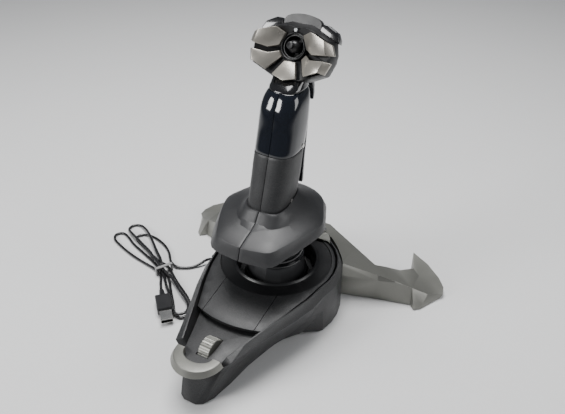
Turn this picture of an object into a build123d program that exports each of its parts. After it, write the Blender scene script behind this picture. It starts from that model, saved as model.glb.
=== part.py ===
# Flight joystick: base with wings, two-axis gimbal, twisting grip, head with five buttons and a hat,
# throttle wheel, and a USB cord with its hank. Millimetres, +Z up, the user on the -Y side.
# The origin is where the stick's axis meets the desk.
from math import cos, hypot, pi, radians, sin, tan
import os

from build123d import *

os.makedirs("parts", exist_ok=True)

# driving dimensions
BODY_R = 65.3        # round body of the base
SHELL_WALL = 2.6     # base shell wall
FLOOR_GAP = 1.0      # the shell's rim stands this far off the desk
PIVOT_Z = 34.0       # both tilt axes cross here
BALL_R = 31.0        # dust ball under the stick
WELL_R = 31.35       # opening in the well floor round the ball
SHAFT_R = 6.0        # steel stick shaft
COVER_R = 92.8       # front arc of the top cover
DECK_Z = 36.0        # top of the throttle deck
WHEEL_R, WHEEL_Y, WHEEL_Z, WHEEL_W = 12.0, -117.6, 31.5, 11.0
SPLIT_Z = 171.8      # glossy upper grip above, matte grip below
GRIP_WALL = 2.6
GRIP_P = 3.2         # exponent of the grip's rounded-square section
HEAD = Vector(0, 34.5, 254.5)                     # middle of the head's face
FACE = Vector(0, -cos(radians(26)), sin(radians(26)))   # the way the face looks
CORD_D = 3.0


def save(shape, name):
    if shape.volume < 0:
        print("NEGATIVE", name)
    export_step(shape, f"parts/{name}.step")


def skin(rings, loop=False):
    """A solid through rings of equal point count, with fans over its ends unless it's a loop."""
    faces = []

    def tri(a, b, c):
        if (b - a).cross(c - a).length > 1e-4:
            faces.append(Face(Wire.make_polygon([a, b, c])))

    pairs = list(zip(rings, rings[1:] + rings[:1])) if loop else list(zip(rings, rings[1:]))
    for low, high in pairs:
        for i in range(len(low)):
            j = (i + 1) % len(low)
            tri(low[i], low[j], high[j])
            tri(low[i], high[j], high[i])
    for ring in [] if loop else [rings[0], rings[-1]]:
        mid = sum(ring, Vector()) / len(ring)
        for i in range(len(ring)):
            tri(mid, ring[i], ring[(i + 1) % len(ring)])
    solid = Solid(Shell(faces))
    return solid if solid.volume > 0 else Solid(Shell([-f for f in faces]))


def ring_of(half):
    """Half a ring, front centre to back centre on the +X side, completed by its mirror image."""
    return [Vector(*p) for p in half] + [Vector(-x, y, z) for x, y, z in reversed(half) if x > 0.01]


def inset(ring, t, z=None):
    """The ring moved inwards by t in plan, at its own heights or at height z."""
    out = []
    for i, p in enumerate(ring):
        a, b = ring[i - 1], ring[(i + 1) % len(ring)]
        d = Vector(b.X - a.X, b.Y - a.Y, 0).normalized()
        out.append(Vector(p.X - d.Y * t, p.Y + d.X * t, p.Z if z is None else z))
    return out


def prism(ring, z0, z1):
    """The ring's plan shape, drawn up from z0 to z1."""
    flat = Face(Wire.make_polygon([Vector(p.X, p.Y, z0) for p in ring]))
    return Solid.extrude(flat, Vector(0, 0, z1 - z0))


def turned(profile):
    """A solid of revolution about Z from (radius, height) points."""
    face = Face(Wire.make_polygon([Vector(r, 0, z) for r, z in profile]))
    return Solid.revolve(face, 360, Axis.Z)


def rod(start, end, r):
    """A round bar between two points."""
    start, end = Vector(*start), Vector(*end)
    return Solid.make_cylinder(r, (end - start).length, Plane(origin=start, z_dir=end - start))


def block(x0, x1, y0, y1, z0, z1):
    return Pos((x0 + x1) / 2, (y0 + y1) / 2, (z0 + z1) / 2) * Box(x1 - x0, y1 - y0, z1 - z0)


def flip(shape):
    return shape.mirror(Plane.YZ)


def one(shape):
    """The largest solid of a boolean result."""
    return max(shape.solids(), key=lambda s: s.volume)


# ---------------------------------------------------------------- base shell
def arc(r, z, first=-18, last=90, step=12):
    return [(r * cos(radians(a)) if a < 90 else 0, r * sin(radians(a)), z)
            for a in range(first, last + 1, step)]


foot = ring_of([(0, -152, 1), (6, -152, 1), (11.5, -148.5, 1), (16, -139, 1), (20, -118, 1),
                (23, -92, 1), (30, -68, 1), (45, -44, 1)] + arc(BODY_R, FLOOR_GAP))
waist = ring_of([(0, -131, 27), (15.8, -131, 27), (19, -130, 27), (22.5, -126, 27),
                 (28, -110, 27), (36, -86, 27), (45, -63, 27), (56, -37, 27)] + arc(BODY_R, 27))
rail_out = ring_of([(0, -131, 32), (17, -131, 32), (22, -130, 34), (28.4, -127.7, 40),
                    (35, -108, 41), (44, -84, 41.5), (52.5, -62, 42), (60, -38, 42.5)]
                   + arc(BODY_R, 44))
rail_in = ring_of([(0, -129, 32.4), (15.5, -129, 32.4), (18.5, -128, 34.5), (23.4, -125.6, 42),
                   (30, -107, 45), (38.5, -84, 48), (47, -62, 49.5), (55, -37, 50.5)]
                  + arc(61.5, 52))
shell = skin([foot, waist, rail_out, rail_in, inset(rail_in, 1.3),
              inset(rail_in, 4.6, 31.6), inset(waist, SHELL_WALL, 27), inset(foot, SHELL_WALL)], loop=True)
scallop = rod((-90, -57, -55), (90, -57, -55), 65)      # raised edge along each flank
shell = shell - scallop
cable_port = rod((-50, 8.8, 9), (-75, 13.2, 9), 4.2)
shell = shell - block(-6.2, 6.2, -130, -100, 12, 40) - block(-14.4, 14.4, -125, -108, 22, 33)

# ---------------------------------------------------------------- cover, collar and well
cover = turned([(54.6, 51.2), (COVER_R, 43.2), (COVER_R, 40.4), (54.6, 48.0)])
cover = one(cover & prism(inset(rail_in, 3.4), 20, 80))
collar = turned([(36.6, 38.0), (38.8, 53.0), (41.8, 53.8), (43.4, 49.5), (48, 47.0), (53.2, 50.9),
                 (54.4, 51.0), (54.4, 45.6), (43, 42.0), (40, 38.0)])
well = turned([(WELL_R, 35.0), (WELL_R, 37.0), (36.3, 37.0), (36.3, 35.0)])
well_wall = turned([(33.2, 4.2), (33.2, 34.9), (40, 34.9), (40, 37.9), (42, 37.9), (42, 33), (36, 31),
                    (36, 4.2)])

# ---------------------------------------------------------------- throttle deck
deck = prism(ring_of([(0, -146, 0), (13, -145.5, 0), (19, -139, 0), (19.2, -126, 0),
                      (25, -107, 0), (32.5, -84, 0), (34.5, -77, 0), (0, -77, 0)]), DECK_Z - 3, DECK_Z)
deck = deck - block(-6.2, 6.2, -130.1, -105.4, 20, 50) - shell

# ---------------------------------------------------------------- silver arch round the nose
def half_moon(rx, ry, y, z):
    return [Vector(rx * cos(radians(a)), y - ry * sin(radians(a)), z) for a in range(0, 181, 12)]


def band(rings):
    """An open band of sections: each ring is one point per section, closed at both ends."""
    return skin([[ring[i] for ring in rings] for i in range(len(rings[0]))])


arch = band([half_moon(23.2, 23.6, -133, 36.1), half_moon(24.4, 24.6, -133, 38.4),
             half_moon(21.6, 21.0, -133, 43.2), half_moon(14.0, 10.4, -133, 43.2),
             half_moon(14.0, 10.4, -133, 36.1)])

# ---------------------------------------------------------------- wings
def wing():
    arm = skin([[Vector(0, 45.5, 54.2), Vector(0, 79, 51), Vector(0, 79, 38), Vector(0, 45.5, 38)],
                [Vector(18, 46, 54.2), Vector(22, 77.5, 51), Vector(22, 77.5, 36), Vector(18, 46, 36)],
                [Vector(34, 47, 53.2), Vector(33, 72.5, 49), Vector(33, 72.5, 26), Vector(34, 47, 26)],
                [Vector(56, 30, 46), Vector(57, 66, 41), Vector(57, 64, 1), Vector(55, 36, 1)],
                [Vector(90, 45, 33), Vector(81, 61, 31), Vector(82, 59, 1), Vector(90, 46, 1)],
                [Vector(122.7, 58.7, 19.1), Vector(103, 76, 22), Vector(104, 74, 1),
                 Vector(124, 54, 1)],
                [Vector(129, 63.5, 14), Vector(112, 83, 18), Vector(113, 82, 4), Vector(130, 59, 3)]])
    top = [(122.7, 58.7, 19.1), (136.7, 67.4, 10.4), (149.5, 80.5, 6), (147.5, 87, 9), (140, 93.5, 13.5),
           (124, 104, 18), (105, 112.5, 21), (113, 89.5, 18.5), (103, 76, 22)]
    low = [(129.5, 48.5, 1), (135, 53.2, 1), (148, 80, 1), (146, 85.5, 1), (138, 91, 3),
           (123, 100, 7), (107, 107.5, 14), (111, 88, 5), (104, 74, 1)]
    claw = skin([[Vector(*p) for p in low], [Vector(*p) for p in top]])
    body = arm + claw
    body = body - Pos(0, 0, 26.2) * Cylinder(BODY_R + 0.1, 52.4) - block(-1, 0, 0, 100, 0, 60)
    return body


right_wing = one(wing())
wing_pad = block(100, 118, 57.5, 65, 0, 0.98)

# ---------------------------------------------------------------- inside the base
plate = turned([(0, 1.4), (58.5, 1.4), (58.5, 3.6), (0, 3.6)]) - scallop
feet = [Pos(x, y, 0.69) * Cylinder(6, 1.38) for x, y in ((45, 18), (-45, 18), (18, 45), (-18, 45), (0, 0))]
nose_foot = block(-5, 5, -146, -134, 0, 3.0)
ballast = turned([(38.5, 3.7), (54, 3.7), (54, 15), (38.5, 15)]) & block(-60, 60, 6, 70, 0, 30)
board = block(-18, 22, -52, -36.6, 10, 11.6)
board_legs = [rod((x, -48, 3.65), (x, -48, 9.95), 2.2) for x in (-14, 18)]
post = turned([(0, 3.7), (14, 3.7), (12, 8), (12, 20.5), (0, 20.5)])
fork = block(-16, 16, -5, 5, 20.6, PIVOT_Z + 4.4) - block(-11.6, 11.6, -6, 6, 24, 60)
fork = fork - rod((-20, 0, PIVOT_Z), (20, 0, PIVOT_Z), 3.05)
cross = (block(-7, 7, -7, 7, PIVOT_Z - 4.6, PIVOT_Z + 4.6) + rod((-16.2, 0, PIVOT_Z), (16.2, 0, PIVOT_Z), 3)
         + rod((0, -16.2, PIVOT_Z), (0, 16.2, PIVOT_Z), 3))
yoke = block(-5, 5, -16, 16, PIVOT_Z - 4.4, 46.9) - block(-6, 6, -11.6, 11.6, 20, 46.0)
yoke = yoke - rod((0, -20, PIVOT_Z), (0, 20, PIVOT_Z), 3.05)
yoke = yoke + turned([(0, 46.0), (17, 46.0), (17, 48.4), (0, 48.4)])
pitch_pot = Pos(18.6, 0, PIVOT_Z) * Rot(0, 90, 0) * Cylinder(5.6, 4.4)
roll_pot = Pos(0, 18.6, PIVOT_Z) * Rot(90, 0, 0) * Cylinder(5.6, 4.4)
shaft = rod((0, 0, 48.5), (0, 0, 128), SHAFT_R)


def ball_shell():
    outer = Pos(0, 0, PIVOT_Z) * Sphere(BALL_R)
    inner = Pos(0, 0, PIVOT_Z) * Sphere(BALL_R - 2.2)
    return (outer - inner) & Pos(0, 0, 34) * Box(90, 90, 16)


def facets(levels, sides=12):
    """Flat-sided rings at (radius, height) levels."""
    step = 2 * pi / sides
    return [[Vector(r * cos(i * step), r * sin(i * step), z) for i in range(sides)] for r, z in levels]


def boot_levels():
    """A boot with ribs: in and out four times between the skirt and the hand rest."""
    levels, z = [(23.4, 58.6), (26.6, 59.4), (26.6, 61.2)], 62.6
    for r in (26.2, 26.8, 26.2, 25.0):
        levels += [(r, z), (r, z + 2.6), (r - 1.8, z + 3.8), (r - 1.8, z + 5.4)]
        z += 6.6
    return levels + [(22.6, z + 1.6), (21.5, 94.2)]


ball = ball_shell()
skirt = skin(facets([(29.4, 42.1), (24.6, 58.4)])) - Pos(0, 0, PIVOT_Z) * Sphere(BALL_R - 2.0)
skirt = skirt - turned([(0, 40), (26.8, 40), (21.4, 60), (0, 60)])
boot_line = boot_levels()
boot = turned([(r - 2.0, z) for r, z in boot_line] + [(r, z) for r, z in reversed(boot_line)])
boot_cap = turned([(SHAFT_R + 0.02, 92.0), (19.4, 92.0), (19.4, 94.2), (SHAFT_R + 0.02, 94.2)])
boot_floor = turned([(SHAFT_R + 0.02, 55.2), (21.4, 55.2), (21.4, 58.4), (SHAFT_R + 0.02, 58.4)])


def spring(r, z0, z1, wire, turns):
    line = Pos(0, 0, z0) * Helix((z1 - z0) / turns, z1 - z0, r)
    start = Plane(origin=line @ 0, z_dir=line % 0)
    return Solid.sweep(Face(Wire.make_circle(wire, start)), Wire(line.edges()))


centring = spring(22.4, 4.8, 24.0, 0.9, 5)

# ---------------------------------------------------------------- throttle wheel
wheel = rod((-WHEEL_W / 2, WHEEL_Y, WHEEL_Z), (WHEEL_W / 2, WHEEL_Y, WHEEL_Z), WHEEL_R)
for i in range(9):
    a = radians(30 + 15 * i)
    notch_y = WHEEL_Y + (WHEEL_R + 0.35) * cos(a)
    notch_z = WHEEL_Z + (WHEEL_R + 0.35) * sin(a)
    wheel = wheel - rod((-WHEEL_W, notch_y, notch_z), (WHEEL_W, notch_y, notch_z), 0.8)
wheel = wheel - rod((-20, WHEEL_Y, WHEEL_Z), (20, WHEEL_Y, WHEEL_Z), 1.45)
axle = rod((-9.2, WHEEL_Y, WHEEL_Z), (9.2, WHEEL_Y, WHEEL_Z), 1.4)
ears = block(6.8, 9.2, -123, -112, 27.5, 32.95) - rod((0, WHEEL_Y, WHEEL_Z), (20, WHEEL_Y, WHEEL_Z), 1.4)
wheel_pot = Pos(11.4, WHEEL_Y, 28.6) * Rot(0, 90, 0) * Cylinder(4.0, 4.0)

# ---------------------------------------------------------------- hand rest
rim_low = [(0, -65, 96.4), (14, -64, 96.8), (28, -61, 97.6), (34.5, -50, 100.4), (41, -34.5, 102.6),
           (46.4, -20, 103.8), (49.4, -5, 104.4), (48.6, 10, 105), (43.4, 23.4, 105.6), (34.6, 33.4, 106),
           (22.6, 40.4, 106.5), (10.6, 44, 107), (0, 45, 107)]
rim_high = [(0, -63.6, 103.2), (13.6, -62.6, 103.6), (27.4, -59.6, 104.4), (33.4, -49.2, 106.6),
            (39.8, -34, 108.4), (45, -19.6, 109.4), (48, -5, 110), (47.2, 9.8, 110.6), (42.2, 22.8, 111),
            (33.6, 32.4, 111.4), (22, 39.2, 112), (10.2, 42.8, 112.4), (0, 43.8, 112.4)]
slope = [(0, -48, 114), (9, -47, 113.6), (18.4, -43.4, 113), (25, -36, 113.4), (30.4, -26, 114),
         (34, -15.4, 114.6), (35.6, -4, 115.2), (34.6, 8, 116), (30.8, 17, 117), (24.8, 23.6, 118),
         (16.6, 27.4, 119), (8, 29.4, 119.6), (0, 30, 119.8)]
root = [(0, -30.4, 121.4), (8.6, -30, 121.4), (14.8, -27.4, 121.2), (17.8, -22, 121.6), (19, -16, 122.2),
        (19.3, -10, 123), (19.3, -4, 124), (18.8, 2, 125.2), (17.6, 7.4, 126.4), (14.6, 12, 127.4),
        (10, 14, 128), (5, 14.8, 128.2), (0, 15, 128.2)]
under = [(26.6 * sin(radians(15 * i)), -26.6 * cos(radians(15 * i)) - 2, 98.6) for i in range(13)]
under[0], under[12] = (0, -28.6, 98.6), (0, 24.6, 98.6)
rest = skin([ring_of(h) for h in (under, rim_low, rim_high, slope, root)])
hollow = skin([inset(ring_of(rim_low), 7, 103.6), inset(ring_of(slope), 4.5, 110)])
rest = rest - (hollow - turned([(0, 90), (14, 90), (14, 120), (0, 120)]))
rest = rest - turned([(0, 94), (10.05, 94), (10.05, 130), (0, 130)])

# ---------------------------------------------------------------- grip
GRIP = [(121, -7.8, 18.5, 22), (134.5, -4.2, 18.8, 21.5), (148, 0.4, 19.2, 21.2), (160, 3.6, 19.4, 20.6),
        (171.8, 6.9, 19.5, 19.8), (182, 10.4, 19.5, 19.8), (192.6, 13.7, 19.5, 19.8),
        (208, 17.3, 19, 19.7), (215, 19.7, 18.2, 18.5), (220, 21.6, 16.6, 17.4), (223, 23, 14.6, 16)]


def section(z, y, a, c, n=32):
    """A rounded square in plan: half width a, half depth c, centred at y."""
    out = []
    for i in range(n):
        t = 2 * pi * (i + 0.5) / n
        e = 2 / GRIP_P
        s, k = sin(t), cos(t)
        x = a * abs(s) ** e * (1 if s > 0 else -1)
        depth = c * abs(k) ** e * (1 if k > 0 else -1)
        out.append(Vector(x, y - depth, z))
    return out


grip_outer = skin([section(*g) for g in GRIP])
grip_inner = skin([section(z, y, a - GRIP_WALL, c - GRIP_WALL) for z, y, a, c in
                   [(110, -10.8, 18.5, 22)] + GRIP[:-2] + [(217.5, 20.6, 17.4, 18)]])
grip = grip_outer - grip_inner - rest


def quarter(shape, x0, x1, z0, z1):
    return one(shape & block(x0, x1, -100, 100, z0, z1))


hub_bore = SHAFT_R + 0.08
hub = turned([(hub_bore, 94.6), (13.6, 94.6), (13.6, 98.4), (10, 98.4), (10, 126), (hub_bore, 126)])
hub_pot = turned([(0, 128.4), (8, 128.4), (8, 135), (0, 135)])
hub_bridge = (block(-13, 13, -3.5, 3.5, 135.1, 138)
              + block(-13, -9.2, -3.5, 3.5, 126.2, 138) + block(9.2, 13, -3.5, 3.5, 126.2, 138))
grip_screws = [rod((x, y, z), (13, y, z), 2.0) for x, y, z in ((19.9, 14.6, 174.8), (19.6, -6, 128.5))]
for screw in grip_screws:
    grip = grip - screw

# ---------------------------------------------------------------- head, in its face's own frame
UPV = FACE.cross(Vector(1, 0, 0))


def on_face(u, v, d):
    """u to the right, v up the face, d out of the face."""
    return HEAD + Vector(u, 0, 0) + UPV * v + FACE * d


def face_ring(half):
    pts = half + [(-u, v, d) for u, v, d in reversed(half) if u > 0.01]
    return [on_face(*p) for p in pts]


def scaled(half, k, shift, d):
    return [(u * k, v * k + shift, d) for u, v, _ in half]


rim = [(0, 15.5, 5.0), (8, 16, 5.5), (16.5, 14.5, 6.2), (31.5, 8.6, 9.3), (35, -3, 7.3),
       (34.4, -8, 8.2), (31.8, -18.6, 10.2), (19, -24.2, 6.9), (12.4, -27, 5.6), (0, -28.5, 5.5)]
dish_d = [2.0, 2.1, 2.1, 0.5, -0.7, -2.2, -2.4, -1.5, -0.7, -0.7]
dish = [(12.2 * u / hypot(u, v), 12.2 * v / hypot(u, v), d) for (u, v, _), d in zip(rim, dish_d)]
back = [(0, 21, -6), (9, 21.4, -6), (18, 18.6, -6), (34, 11, -6), (37.4, -1, -6), (37, -8, -6),
        (33.4, -19, -6), (20.4, -25.4, -6), (12.8, -28, -6), (0, -29, -6)]
lip = [(u * 1.04, v * 1.03, d - 3) for u, v, d in rim]
head_rings = [dish, rim, lip, back, scaled(back, 0.95, 0.6, -13), scaled(back, 0.78, 1.4, -20),
              scaled(back, 0.48, 1.4, -25)]
head_solid = skin([face_ring(h) for h in head_rings])
head_core = skin([face_ring(scaled(back, k, s, d)) for k, s, d in
                  ((0.66, -0.5, -0.6 - 4), (0.88, 0, -8), (0.86, 0.6, -13), (0.66, 1.2, -20))])


def face_rod(u, v, d0, d1, r):
    a, b = on_face(u, v, d0), on_face(u, v, d1)
    return Solid.make_cylinder(r, (b - a).length, Plane(origin=a, z_dir=b - a))


PETALS = {
    "button_upper_right": [(8.4, 9.5, 7.1), (15.9, 13.1, 11.2), (30.8, 7.4, 14.3), (33.9, -2.9, 12.3),
                           (21.8, -4.8, 10.3), (13, -1.1, 4.3)],
    "button_lower_right": [(13.7, -5, 3.6), (20.8, -9.2, 10.2), (33.2, -8, 13.6), (30.6, -17.9, 15.6),
                           (18.6, -22.8, 12.3), (9.9, -8.9, 3.4)],
    "button_bottom": [(5.4, -12.5, 4.3), (11.8, -25.6, 10.6), (4, -27.6, 11), (-4, -27.6, 11),
                      (-11.8, -25.6, 10.6), (-5.4, -12.5, 4.3)]}
STEMS = {"button_upper_right": (23, 3), "button_lower_right": (22.4, -14), "button_bottom": (0, -20.5)}
for name in ("upper", "lower"):
    PETALS[f"button_{name}_left"] = [(-u, v, d) for u, v, d in PETALS[f"button_{name}_right"]]
    u, v = STEMS[f"button_{name}_right"]
    STEMS[f"button_{name}_left"] = (-u, v)


def petal(name):
    top = PETALS[name]
    mu, mv = sum(p[0] for p in top) / 6, sum(p[1] for p in top) / 6
    low = [on_face(mu + (u - mu) * 1.03, mv + (v - mv) * 1.03, d - 3.2) for u, v, d in top]
    high = [on_face(mu + (u - mu) * 0.95, mv + (v - mv) * 0.95, d) for u, v, d in top]
    mid = [on_face(mu + (u - mu) * 1.0, mv + (v - mv) * 1.0, d - 0.9) for u, v, d in top]
    solid = skin([low, mid, high])
    su, sv = STEMS[name]
    return solid, face_rod(su, sv, -7, sum(p[2] for p in top) / 6 - 2.4, 2.4)


buttons = {}
head_front = head_solid - head_core
for name in PETALS:
    solid, stem = petal(name)
    buttons[name] = one(solid + stem)
    su, sv = STEMS[name]
    head_front = head_front - face_rod(su, sv, -9, 20, 2.48)
head_front = head_front - face_rod(0, 0, -9.5, 20, 10.75)
SPLIT = Plane(origin=on_face(0, 0, -8), x_dir=(1, 0, 0), z_dir=FACE)
halves = SPLIT.location * Pos(0, 0, 60) * Box(160, 160, 120)
head_back = one(head_front - halves - block(-8.0, 8.0, 41.5, 60, 215, 233))
head_front = one(head_front & halves)
bezel = face_rod(0, 0, -6.9, 3.4, 10.6) - face_rod(0, 0, -20, 20, 8.4)
hat_floor = face_rod(0, 0, -9.4, -8.0, 10.6) - face_rod(0, 0, -20, 20, 2.9)
hat_ring = face_rod(0, 0, -6.6, -5.4, 5.4) - face_rod(0, 0, -20, 20, 3.4)
for way in (-1, 1):
    hat_ring = hat_ring + rod(on_face(4.4 * way, 0, -6), on_face(6.6 * way, 0, -6), 0.6)
hat = (face_rod(0, 0, -7.4, 10.0, 2.1) + Plane(origin=on_face(0, 0, 0.6), z_dir=FACE).location * Sphere(5.6)
       + face_rod(0, 0, 4, 11.2, 3.0) + rod(on_face(0, -3.2, -6), on_face(0, 3.2, -6), 0.6))
lens = face_rod(0, 13.4, 3.4, 5.6, 1.5)
head_front = one(head_front - lens)
visor_line = [(-17, 21.6), (-11.5, 26), (-5, 28), (0, 28.4), (5, 28), (11.5, 26), (17, 21.6), (0, 21.9)]
visor = skin([[on_face(u, v, -10) for u, v in visor_line], [on_face(u, v, -5.2) for u, v in visor_line]])


def shoulder():
    """A bar over the head's top corner, and the way it's pressed."""
    a, b = Vector(18.6, 19.6), Vector(35.4, 12.0)
    along = (b - a).normalized()
    out = Vector(-along.Y, along.X)
    line = [a, b, b + out * 2.2 - along * 2.5, a + out * 3.4 + along * 2.5]
    line = [p + out * 1.5 for p in line]
    return skin([[on_face(p.X, p.Y, -11) for p in line], [on_face(p.X, p.Y, -3.4) for p in line]])


neck_rings = [section(z, y, a, c) for z, y, a, c in
              ((223.1, 23, 14.4, 15.6), (226, 25.6, 15.6, 14.6), (231, 30.6, 17, 13.2), (240, 38, 16.4, 12))]
neck = skin(neck_rings) - head_solid
neck = one(neck)

# ---------------------------------------------------------------- trigger and lever behind the grip
def plate_yz(points, x0, x1):
    face = Face(Wire.make_polygon([Vector(x0, y, z) for y, z in points]))
    return Solid.extrude(face, Vector(x1 - x0, 0, 0))


trigger = plate_yz([(46, 230.4), (51, 231), (57, 225), (59.6, 216), (60.2, 206), (58.6, 199.4),
                    (56.4, 199.6), (56.6, 208), (54, 217), (49.4, 223), (44.4, 224.6)], -7.5, 7.5)
trigger = trigger - rod((-20, 48.2, 227.2), (20, 48.2, 227.2), 1.56)
trigger_pin = rod((-11, 48.2, 227.2), (11, 48.2, 227.2), 1.5)
trigger_ear = plate_yz([(38, 222.6), (44, 222.6), (50.6, 224.4), (50.6, 230), (46, 232), (38, 232)], 8, 11)
trigger_ear = trigger_ear - trigger_pin - neck - head_solid
lever = plate_yz([(37.6, 209.4), (41, 209), (41.2, 202), (37.6, 176), (33.4, 150), (31, 128), (28.4, 127.4),
                  (29, 136), (31, 152), (35.2, 178), (38.2, 201), (38.0, 205)], -12, 12)
lever = lever - rod((-20, 39.5, 206.2), (20, 39.5, 206.2), 1.06) - block(-6.4, 6.4, 30, 60, 203, 212)
lever_pin = rod((-11.6, 39.5, 206.2), (11.6, 39.5, 206.2), 1.0)
lever_block = block(-6, 6, 30, 41, 203.6, 209) - grip_outer - lever_pin

# ---------------------------------------------------------------- cord
def cord_tube(points, d):
    radii = []
    for a, b, c in zip(points, points[1:], points[2:]):
        p, q = Vector(*b) - Vector(*a), Vector(*c) - Vector(*b)
        turn = radians(p.get_angle(q))
        radii.append(round(0.45 * min(p.length, q.length) / tan(turn / 2), 2))
    line = FilletPolyline(*points, radius=radii)
    print("cord radii", radii, "length", round(line.length, 1))
    start = Plane(origin=line @ 0, z_dir=line % 0)
    return Solid.sweep(Face(Wire.make_circle(d / 2, start)), Wire(line.edges())), line.length


exit_dir = Vector(-cos(radians(10)), sin(radians(10)), 0)
gland = rod((-58, 10.2, 9), (-68.6, 12.1, 9), 4.1)
relief = Solid.make_cone(3.6, 2.1, 20, Plane(origin=Vector(-68.65, 12.1, 9), z_dir=exit_dir))
lead, lead_len = cord_tube([(-68.7, 12.11, 9), (-90.5, 15.9, 8.4), (-99, -1, 1.8), (-110.5, -10.5, 1.8),
                            (-119.6, -12.8, 3.0)], CORD_D)
relief = relief - lead
tail, tail_len = cord_tube([(-107.2, -52, 5.6), (-114, -45.4, 5.0), (-118.6, -37.2, 4.6)], CORD_D)
hank_plan = [(-213, 6), (-206, 30), (-181, 26), (-161, 21), (-139, 3), (-121.5, -17.5), (-99, -34),
             (-74, -50), (-66, -63), (-64, -73), (-76, -67), (-88, -56.5), (-101, -45.5), (-113, -38),
             (-128.5, -30.5), (-148, -24), (-175, -20), (-198, -10)]
hank = prism([Vector(x, y, 0) for x, y in reversed(hank_plan)], 1.2, 8.4)
tie = Box(3.4, 18.8, 9.4) - Box(5, 16.2, 7.8)
tie = Pos(-125, -24, 4.9) * Rot(0, 0, -29) * tie
PLUG_AT, PLUG_WAY = Vector(-82.4, -77.1, 6.2), Vector(cos(radians(-45.5)), sin(radians(-45.5)), -0.0)
plug_plane = Plane(origin=PLUG_AT, x_dir=PLUG_WAY.cross(Vector(0, 0, 1)), z_dir=PLUG_WAY)
overmould = plug_plane.location * Pos(0, 0, -11.6) * Box(15.4, 8.2, 23)
overmould = chamfer(overmould.edges(), 1.0)
tail_cone = Solid.make_cone(2.4, 3.4, 9, Plane(origin=PLUG_AT - PLUG_WAY * 32.2, z_dir=PLUG_WAY))
tail_cone = tail_cone - tail
plug_can = Pos(0, 0, 6.8) * Box(12, 4.5, 13.4) - Pos(0, 0, 7.8) * Box(11.4, 3.9, 13.6)
plug_shell = plug_plane.location * plug_can
plug_tongue = plug_plane.location * Pos(0, -0.95, 6.9) * Box(11.2, 1.8, 11.6)

# ---------------------------------------------------------------- writing
base_screws = [Pos(x, y, 54.75) * Cylinder(2.6, 1.0) for x, y in ((22, 62), (-22, 62))]
shell = shell - cable_port
NODES = {
    "base_shell": [one(shell)], "top_cover": [cover], "collar_ring": [collar],
    "well_housing": [well, well_wall], "throttle_deck": [one(deck)], "nose_arch": [arch],
    "wing_right": [right_wing], "wing_left": [flip(right_wing)],
    "base_plate": [one(plate)] + board_legs, "rubber_feet": feet + [nose_foot, wing_pad, flip(wing_pad)],
    "ballast": [one(ballast)], "circuit_board": [board], "gimbal_post": [one(post + fork)],
    "base_sensors": [pitch_pot, wheel_pot], "wheel_axle": [axle], "wheel_ears": [ears, flip(ears)],
    "centring_spring": [centring], "wing_screws": base_screws,
    "cord_relief": [gland, one(relief)], "cord": [lead, tail], "cord_hank": [hank],
    "cord_tie": [tie], "plug_overmould": [overmould, one(tail_cone), plug_tongue],
    "plug_shell": [plug_shell],
    "gimbal_cross": [cross],
    "stick_yoke": [one(yoke), boot_cap, boot_floor], "dust_ball": [one(ball)], "skirt": [one(skirt)],
    "boot": [boot], "stick_shaft": [shaft], "roll_sensor": [roll_pot],
    "twist_hub": [hub, hub_bridge], "twist_sensor": [hub_pot],
    "rest_right": [quarter(rest, 0, 100, 80, 140)], "rest_left": [quarter(rest, -100, 0, 80, 140)],
    "grip_lower_right": [quarter(grip, 0, 50, 100, SPLIT_Z)],
    "grip_lower_left": [quarter(grip, -50, 0, 100, SPLIT_Z)],
    "grip_upper_right": [quarter(grip, 0, 50, SPLIT_Z, 240)],
    "grip_upper_left": [quarter(grip, -50, 0, SPLIT_Z, 240)],
    "grip_screws": grip_screws, "neck": [neck], "head_front": [head_front], "head_back": [head_back],
    "hat_bezel": [bezel, hat_floor], "led_lens": [lens], "visor": [visor],
    "finger_pins": [trigger_pin, lever_pin],
    "finger_mounts": [one(trigger_ear), one(flip(trigger_ear)), one(lever_block)],
    "trigger": [trigger], "grip_lever": [one(lever)], "hat_ring": [hat_ring], "hat": [one(hat)],
    "shoulder_right": [shoulder()], "shoulder_left": [flip(shoulder())], "throttle_wheel": [one(wheel)],
}
NODES.update({name: [solid] for name, solid in buttons.items()})
for name, solids in NODES.items():
    save(Compound(children=[]) if not solids else solids[0] if len(solids) == 1 else Compound(solids), name)
print("nodes", len(NODES), "cord runs", round(lead_len, 1), round(tail_len, 1))
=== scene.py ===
# Flight joystick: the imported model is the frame, and the visible pieces are rebuilt or refinished round it.
from math import cos, pi, radians, sin

import bmesh
import bpy
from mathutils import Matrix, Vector


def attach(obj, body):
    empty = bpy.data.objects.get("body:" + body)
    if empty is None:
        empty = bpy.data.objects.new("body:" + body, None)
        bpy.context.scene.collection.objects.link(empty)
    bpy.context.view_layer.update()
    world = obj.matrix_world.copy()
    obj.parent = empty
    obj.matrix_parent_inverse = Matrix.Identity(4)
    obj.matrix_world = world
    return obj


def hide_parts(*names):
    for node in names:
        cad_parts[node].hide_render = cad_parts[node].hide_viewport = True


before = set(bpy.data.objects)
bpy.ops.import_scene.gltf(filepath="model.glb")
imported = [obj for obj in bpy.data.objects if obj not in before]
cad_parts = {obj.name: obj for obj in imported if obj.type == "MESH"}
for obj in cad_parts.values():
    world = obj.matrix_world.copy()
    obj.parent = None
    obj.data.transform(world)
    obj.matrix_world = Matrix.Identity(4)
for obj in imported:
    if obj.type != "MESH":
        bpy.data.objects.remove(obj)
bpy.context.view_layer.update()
MM = 0.001          # the points below are in millimetres, and Blender works in metres

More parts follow.
